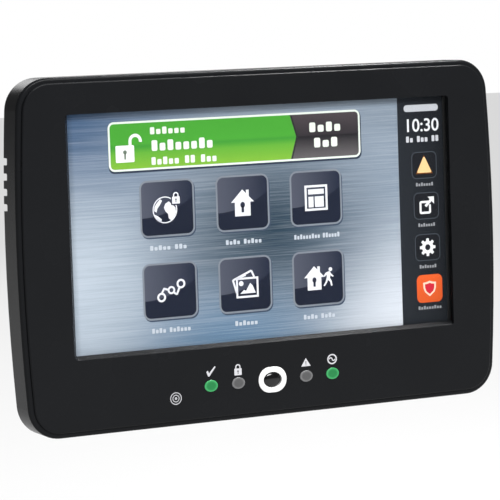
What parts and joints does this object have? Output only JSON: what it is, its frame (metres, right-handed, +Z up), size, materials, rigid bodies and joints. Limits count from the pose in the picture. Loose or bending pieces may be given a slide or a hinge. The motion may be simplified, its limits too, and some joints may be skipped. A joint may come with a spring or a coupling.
{
  "type": "alarm keypad panel",
  "caption": "Wall-mounted touchscreen alarm keypad in a slim black case, with status lights, a ringed home button, a tamper plunger and a hook-on wall plate.",
  "frame": {"origin": "centre of the wall plate's rear face, on the wall, level with the middle of the case outline", "axes": "+X right as seen from the front, +Y into the wall, +Z up; the screen faces -Y"},
  "size_m": [0.1968, 0.0203, 0.1292],
  "materials": {
    "face_plastic": "fine satin moulded plastic, near black",
    "cover_plastic": "fine-grained moulded plastic, near black",
    "plate_plastic": "plain moulded plastic, charcoal",
    "touch_glass": "clear, thin anti-glare coat",
    "foam": "closed-cell foam",
    "display_glass": "dark display glass",
    "light_guide": "milky light guide",
    "sheet_steel": "bright zinc-plated sheet",
    "screw_steel": "zinc-plated screws",
    "board_green": "solder-masked circuit board",
    "chip_black": "moulded chip package",
    "can_metal": "tinned can",
    "coil_grey": "ferrite",
    "capacitor_body": "tantalum yellow",
    "socket_cream": "cream nylon",
    "terminal_green": "green nylon",
    "cell_steel": "bright steel",
    "holder_black": "moulded plastic",
    "plunger_white": "natural acetal",
    "spring_steel": "spring wire",
    "lens_green": "translucent, lit green",
    "lens_grey": "translucent, unlit",
    "ring_white": "glossy white",
    "key_black": "glossy black, domed",
    "silicone": "silicone",
    "led_body": "surface-mount package",
    "speaker_black": "moulded plastic",
    "cone_black": "soft cone",
    "ribbon_tan": "polyimide flex"
  },
  "bodies": {
    "wall_side": {"wall_plate": "plate_plastic"},
    "front_unit": {"front_bezel": "face_plastic", "rear_cover": "cover_plastic", "case_screws": "screw_steel", "touch_gasket": "foam", "touch_glass": "touch_glass", "touch_tape": "foam", "display_cell": "display_glass", "backlight_guide": "light_guide", "display_tray": "sheet_steel", "display_bracket": "sheet_steel", "bracket_screws": "screw_steel", "main_board": "board_green", "board_screws": "screw_steel", "processor": "chip_black", "memory_chips": "chip_black", "crystal": "can_metal", "radio_shield": "can_metal", "radio_chip": "chip_black", "power_coils": "coil_grey", "capacitors": "capacitor_body", "ribbon_sockets": "socket_cream", "terminal_block": "terminal_green", "terminal_screws": "screw_steel", "cell_holder": "holder_black", "backup_cell": "cell_steel", "tamper_switch": "chip_black", "tamper_spring": "spring_steel", "indicator_board": "board_green", "indicator_board_screws": "screw_steel", "indicator_leds": "led_body", "ready_lens": "lens_green", "armed_lens": "lens_grey", "trouble_lens": "lens_grey", "power_lens": "lens_green", "home_ring": "ring_white", "home_switch": "chip_black", "microphone": "can_metal", "speaker_frame": "speaker_black", "speaker_cone": "cone_black", "display_ribbon": "ribbon_tan", "indicator_ribbon": "ribbon_tan", "touch_ribbon": "ribbon_tan"},
    "home_key": {"home_button": "key_black", "home_spring": "silicone"},
    "tamper_pin": {"tamper_plunger": "plunger_white"}
  },
  "joints": [
    {"name": "front_unit_hinge", "type": "hinge", "parent": "wall_side", "child": "front_unit", "pos_m": [0, -0.0039, 0.046], "axis": [-1, 0, 0], "range_deg": [0, 18]},
    {"name": "home_button_press", "type": "slide", "parent": "front_unit", "child": "home_key", "axis": [0, 1, 0], "range_m": [0, 0.0005], "stiffness_N_per_m": 600},
    {"name": "tamper_plunger_press", "type": "slide", "parent": "front_unit", "child": "tamper_pin", "axis": [0, -1, 0], "range_m": [0, 0.0013], "stiffness_N_per_m": 300, "deforming": ["tamper_spring"]}
  ]
}
